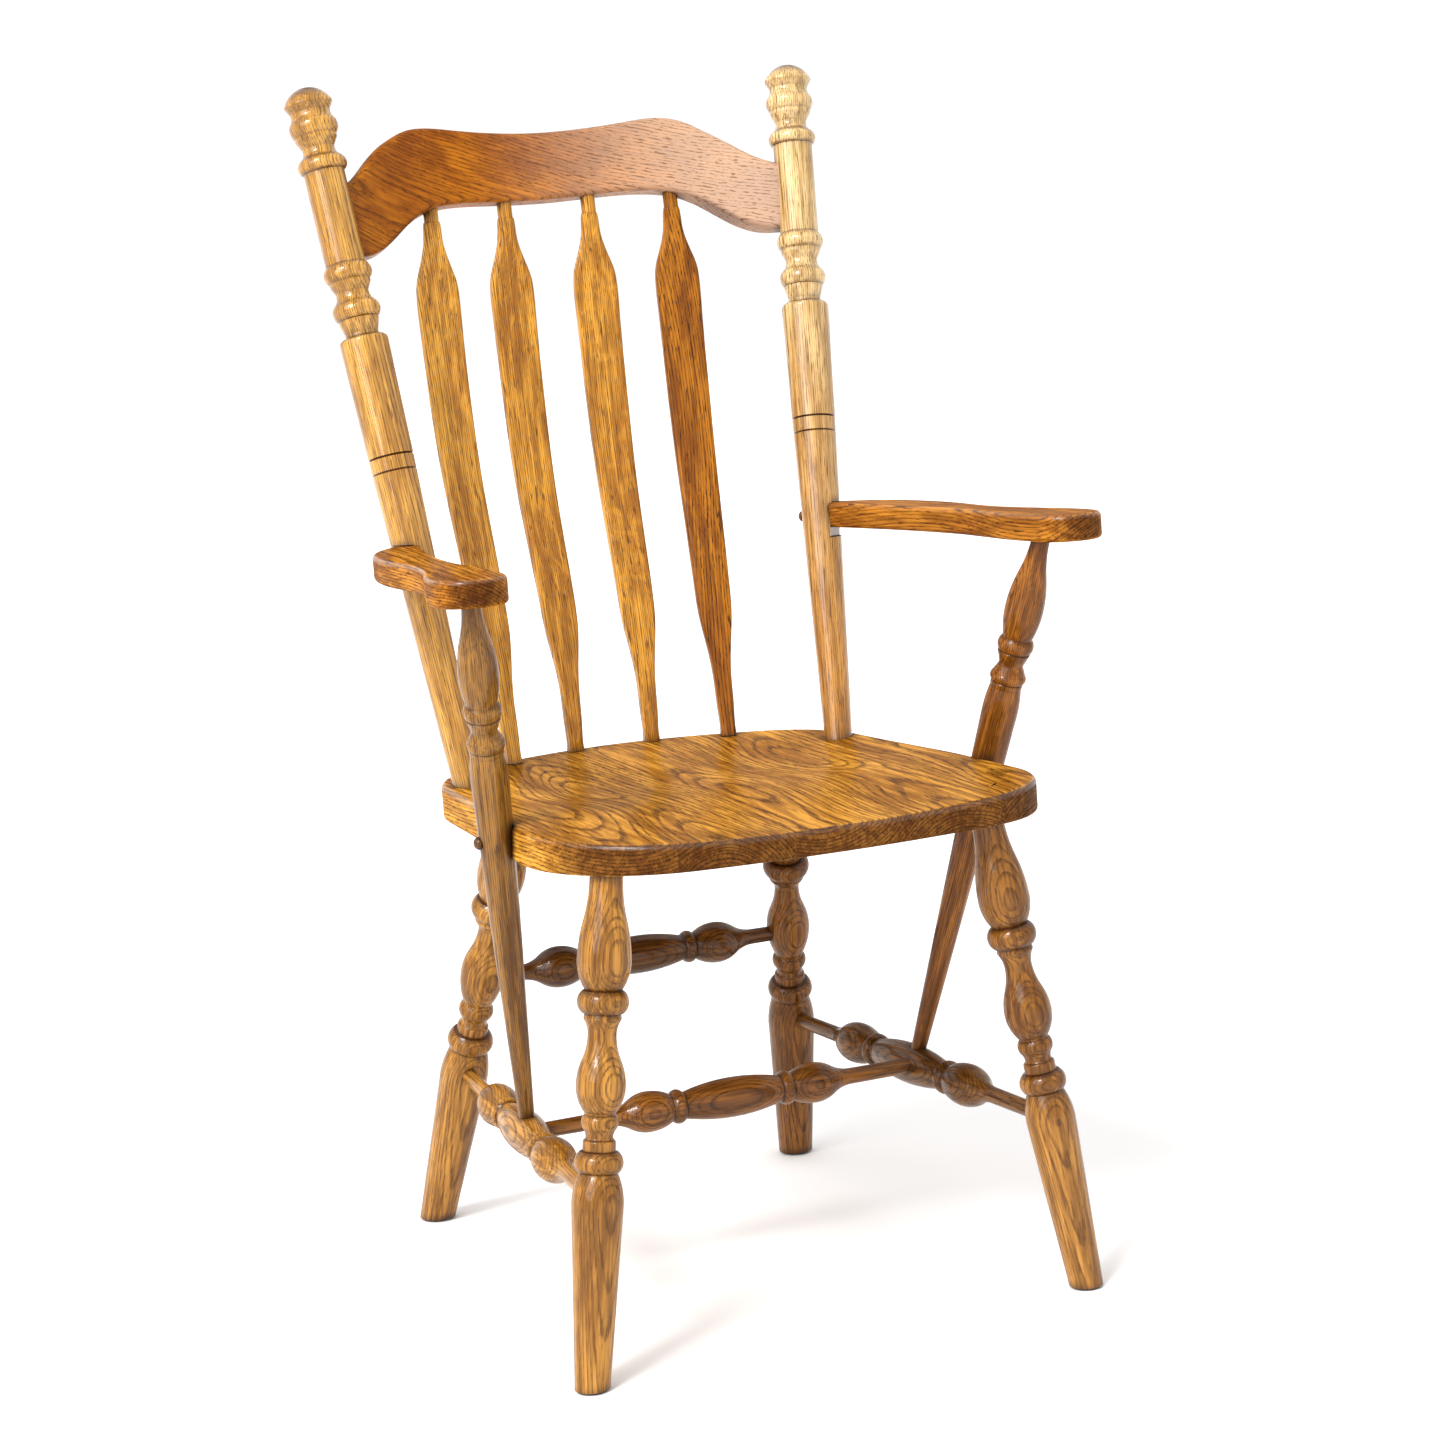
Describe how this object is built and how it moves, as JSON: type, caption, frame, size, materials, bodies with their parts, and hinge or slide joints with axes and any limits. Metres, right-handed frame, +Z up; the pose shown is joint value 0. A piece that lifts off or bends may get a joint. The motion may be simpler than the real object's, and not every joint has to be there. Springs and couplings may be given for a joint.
{
  "type": "wooden armchair",
  "caption": "Turned wooden armchair with a bent crest rail, arrow spindles, a saddled plank seat, paddle arms and splayed legs tied by turned stretchers.",
  "frame": {"origin": "centre of the bounding box's underside, on the floor", "axes": "+Z up, the sitter faces -Y, +X towards the right seen from the front"},
  "size_m": [0.5902, 0.5984, 1.0784],
  "materials": {
    "seat_oak": "semi-gloss clear lacquer over honey stain",
    "crest_oak": "semi-gloss clear lacquer over brown stain",
    "post_oak": "semi-gloss clear lacquer over honey stain",
    "spindle_oak": "semi-gloss clear lacquer over honey stain",
    "arm_oak": "semi-gloss clear lacquer over brown stain",
    "arm_post_oak": "semi-gloss clear lacquer over brown stain",
    "leg_oak": "semi-gloss clear lacquer over brown stain",
    "stretcher_oak": "semi-gloss clear lacquer over brown stain",
    "button_oak": "semi-gloss clear lacquer over brown stain",
    "screw_steel": "plain zinc plate",
    "glide_plastic": "matte"
  },
  "bodies": {
    "root": {"seat": "seat_oak", "crest_rail": "crest_oak", "arrow_spindle_1": "spindle_oak", "arrow_spindle_2": "spindle_oak", "arrow_spindle_3": "spindle_oak", "arrow_spindle_4": "spindle_oak", "back_post_left": "post_oak", "arm_left": "arm_oak", "arm_post_left": "arm_post_oak", "front_leg_left": "leg_oak", "rear_leg_left": "leg_oak", "side_stretcher_left": "stretcher_oak", "foot_glide_front_left": "glide_plastic", "foot_glide_rear_left": "glide_plastic", "arm_screw_left": "screw_steel", "seat_screw_left": "screw_steel", "arm_button_left": "button_oak", "seat_button_left": "button_oak", "back_post_right": "post_oak", "arm_right": "arm_oak", "arm_post_right": "arm_post_oak", "front_leg_right": "leg_oak", "rear_leg_right": "leg_oak", "side_stretcher_right": "stretcher_oak", "foot_glide_front_right": "glide_plastic", "foot_glide_rear_right": "glide_plastic", "arm_screw_right": "screw_steel", "seat_screw_right": "screw_steel", "arm_button_right": "button_oak", "seat_button_right": "button_oak", "cross_stretcher": "stretcher_oak", "rear_stretcher": "stretcher_oak"}
  },
  "joints": []
}
